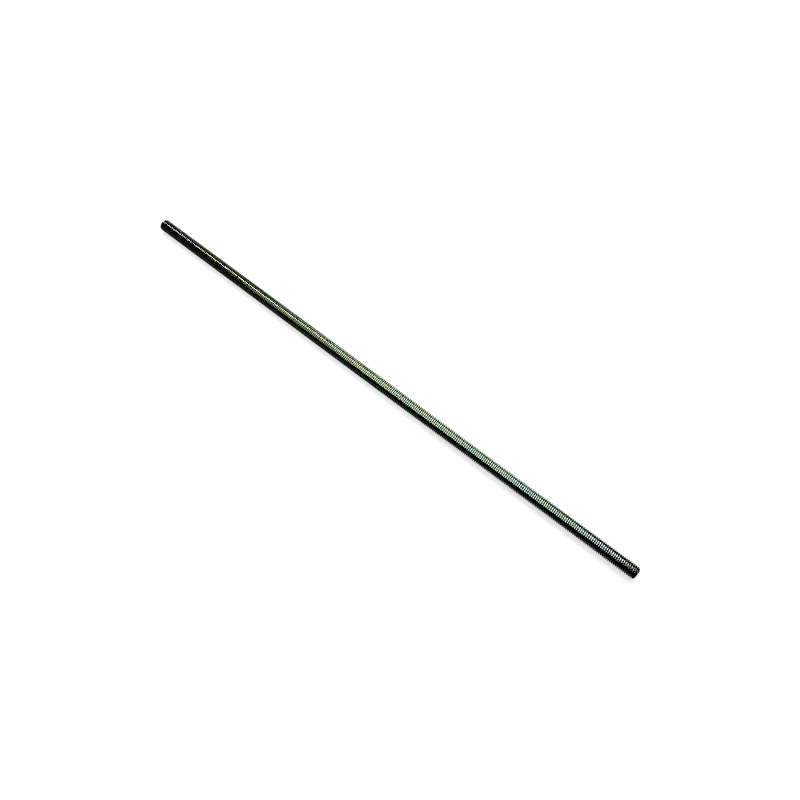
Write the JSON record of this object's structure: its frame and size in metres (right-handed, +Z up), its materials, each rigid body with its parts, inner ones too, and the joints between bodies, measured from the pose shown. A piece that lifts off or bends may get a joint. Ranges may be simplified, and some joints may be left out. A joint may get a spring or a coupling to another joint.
{
  "type": "threaded rod",
  "caption": "Straight steel rod threaded over its whole length, with chamfered ends, for nuts, couplings and clamping.",
  "frame": {"origin": "middle of the rod's axis", "axes": "+X along the rod's axis, +Z up"},
  "size_m": [0.6096, 0.0126, 0.0126],
  "materials": {
    "zinc_plate": "zinc plate with a dark olive to blue-green passivation, darkest in the grooves and burnished bright on the crests of the thread"
  },
  "bodies": {
    "root": {"threaded_rod": "zinc_plate"}
  },
  "joints": []
}
